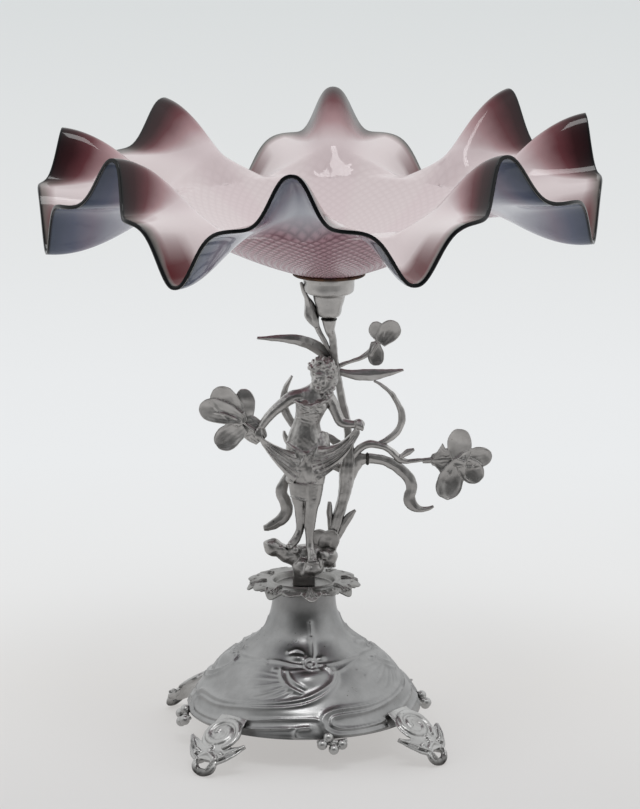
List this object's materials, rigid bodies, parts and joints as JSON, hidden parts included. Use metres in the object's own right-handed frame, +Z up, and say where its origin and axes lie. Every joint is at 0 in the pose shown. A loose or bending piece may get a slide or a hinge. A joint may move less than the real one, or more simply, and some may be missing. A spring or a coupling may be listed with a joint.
{
  "type": "footed bowl",
  "caption": "Crimped glass dish on a plated stand: a maiden holding out her skirt beside a flowering plant, on a bell-shaped base with scroll feet and berry drops.",
  "frame": {"origin": "on the floor under the middle of the dish", "axes": "+Z up; the front, where the figure looks, is towards -Y"},
  "size_m": [0.3087, 0.3065, 0.3553],
  "materials": {
    "satin_silver": "satin silver plate over stamped and cast white metal",
    "dull_silver": "worn, oxidised silver plate over cast white metal",
    "steel": "plain turned steel",
    "cork": "raw cork",
    "leather": "smooth brown leather, edge worn",
    "cased_glass": "polished glass, rose with a dark plum rim"
  },
  "bodies": {
    "stand": {"base_bell": "satin_silver", "foot_front_right": "satin_silver", "berry_drop_front": "satin_silver", "foot_rear_right": "satin_silver", "berry_drop_right": "satin_silver", "foot_rear_left": "satin_silver", "berry_drop_rear": "satin_silver", "foot_front_left": "satin_silver", "berry_drop_left": "satin_silver", "petal_collar": "dull_silver", "tie_stud": "steel", "tie_washer": "steel", "tie_nut": "steel", "main_stem": "dull_silver", "bud_spray": "dull_silver", "maiden_figure": "dull_silver", "rock_mound": "dull_silver", "right_branch": "dull_silver", "curled_tendril_leaf": "dull_silver", "lower_right_leaf": "dull_silver", "right_flower": "dull_silver", "upper_left_leaf": "dull_silver", "upper_right_leaf": "dull_silver", "upper_right_flower": "dull_silver", "left_flower": "dull_silver", "left_upper_leaf": "dull_silver", "left_lower_leaf": "dull_silver", "stem_sprouts": "dull_silver", "root_leaves": "dull_silver", "socket_cup": "dull_silver"},
    "bowl_seat": {"cork_sleeve": "cork", "dish_washer": "leather"},
    "bowl": {"glass_dish": "cased_glass"}
  },
  "joints": [
    {"name": "bowl_turn", "type": "hinge", "parent": "stand", "child": "bowl_seat", "pos_m": [0.005, 0, 0.266], "axis": [0, 0, 1], "continuous": true},
    {"name": "bowl_lift", "type": "slide", "parent": "bowl_seat", "child": "bowl", "axis": [0, 0, 1], "range_m": [0, 0.018]}
  ]
}
